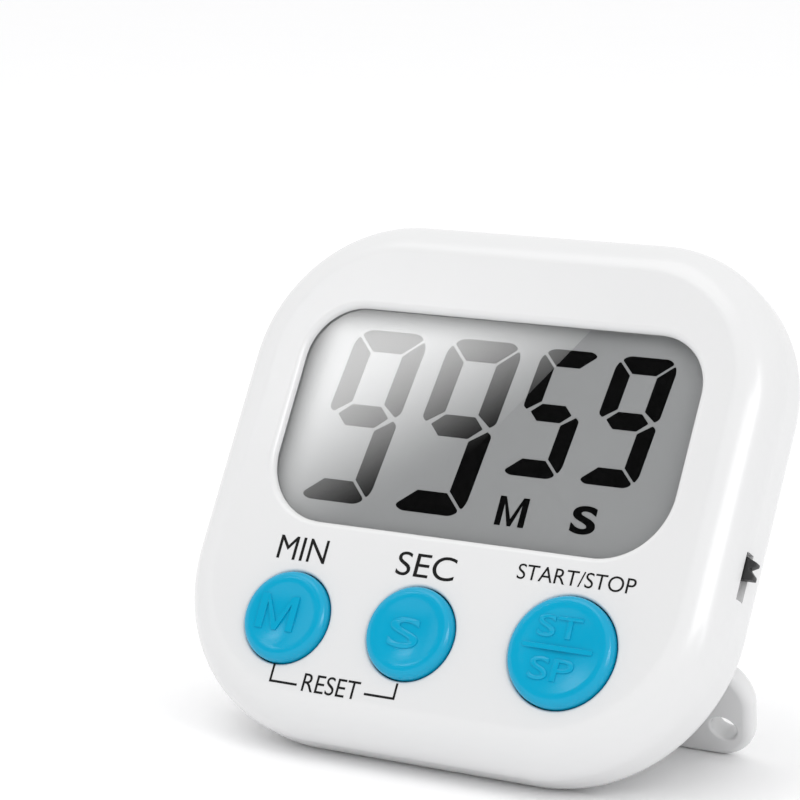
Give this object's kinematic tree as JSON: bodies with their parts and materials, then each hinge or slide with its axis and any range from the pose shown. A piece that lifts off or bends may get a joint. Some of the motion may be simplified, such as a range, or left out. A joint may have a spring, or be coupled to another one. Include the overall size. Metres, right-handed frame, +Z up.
{
  "type": "kitchen timer",
  "caption": "Electronic kitchen timer with a white rounded case, recessed grey seven-segment display, round teal push buttons, side slide switch and fold-out stand.",
  "frame": {"origin": "on the surface the timer stands on, under the middle of its bounding box", "axes": "+X to the right along the face, +Y away from the viewer, +Z up; the face looks towards -Y and leans back 30 degrees from upright, on the open stand"},
  "size_m": [0.0782, 0.043, 0.0643],
  "materials": {
    "white_shell": "smooth semi-gloss white",
    "clear_lens": "clear polished acrylic",
    "display_glass": "satin grey liquid-crystal glass",
    "reflector": "brushed foil",
    "strip_rubber": "soft silicone",
    "board": "solder mask",
    "black_plastic": "fine satin",
    "red_wire": "smooth sleeve",
    "teal_button": "satin moulded teal",
    "grey_rubber": "moulded",
    "plated_steel": "nickel plated",
    "white_ceramic": "unglazed",
    "buzzer_brass": "rolled sheet",
    "cell_wrap": "printed plastic sleeve",
    "magnet": "nickelled, dull"
  },
  "bodies": {
    "case": {"battery_cell": "cell_wrap", "battery_spring": "plated_steel", "board_screw_1": "plated_steel", "board_screw_2": "plated_steel", "board_screw_3": "plated_steel", "buzzer_ceramic": "white_ceramic", "buzzer_disc": "buzzer_brass", "buzzer_wire_black": "black_plastic", "buzzer_wire_red": "red_wire", "capacitor_1": "white_ceramic", "capacitor_2": "white_ceramic", "case_screw_1": "plated_steel", "case_screw_2": "plated_steel", "case_screw_3": "plated_steel", "case_screw_4": "plated_steel", "chip_resin": "black_plastic", "connector_strip": "strip_rubber", "crystal_can": "plated_steel", "display_glass": "display_glass", "display_holder": "white_shell", "display_lens": "clear_lens", "display_reflector": "reflector", "front_shell": "white_shell", "magnet_left": "magnet", "magnet_right": "magnet", "main_board": "board", "min_switch_body": "black_plastic", "negative_contact": "plated_steel", "positive_contact": "plated_steel", "power_switch_body": "plated_steel", "rear_shell": "white_shell", "resistor_1": "white_ceramic", "sec_switch_body": "black_plastic", "stand_pin_left": "plated_steel", "stand_pin_right": "plated_steel", "start_stop_switch_body": "black_plastic"},
    "minute_button": {"min_button": "teal_button", "min_switch_plunger": "grey_rubber"},
    "second_button": {"sec_button": "teal_button", "sec_switch_plunger": "grey_rubber"},
    "start_stop_button": {"start_stop_button": "teal_button", "start_stop_switch_plunger": "grey_rubber"},
    "power_knob": {"power_switch_knob": "black_plastic", "power_switch_lever": "black_plastic"},
    "stand": {"stand": "white_shell"},
    "battery_cover": {"battery_cover": "white_shell"}
  },
  "joints": [
    {"name": "min_press", "type": "slide", "parent": "case", "child": "minute_button", "axis": [0, 0.866, -0.5], "range_m": [0, 0.0008], "stiffness_N_per_m": 1500, "springref_m": -0.0003},
    {"name": "sec_press", "type": "slide", "parent": "case", "child": "second_button", "axis": [0, 0.866, -0.5], "range_m": [0, 0.0008], "stiffness_N_per_m": 1500, "springref_m": -0.0003},
    {"name": "start_stop_press", "type": "slide", "parent": "case", "child": "start_stop_button", "axis": [0, 0.866, -0.5], "range_m": [0, 0.0008], "stiffness_N_per_m": 1500, "springref_m": -0.0003},
    {"name": "power_slide", "type": "slide", "parent": "case", "child": "power_knob", "axis": [0, -0.5, -0.866], "range_m": [0, 0.0024]},
    {"name": "stand_fold", "type": "hinge", "parent": "case", "child": "stand", "pos_m": [-0.00065, 0.00154, 0.01863], "axis": [-1, 0, 0], "range_deg": [0, 57]},
    {"name": "cover_lift", "type": "slide", "parent": "case", "child": "battery_cover", "axis": [0, 0.866, -0.5], "range_m": [0, 0.015]}
  ]
}
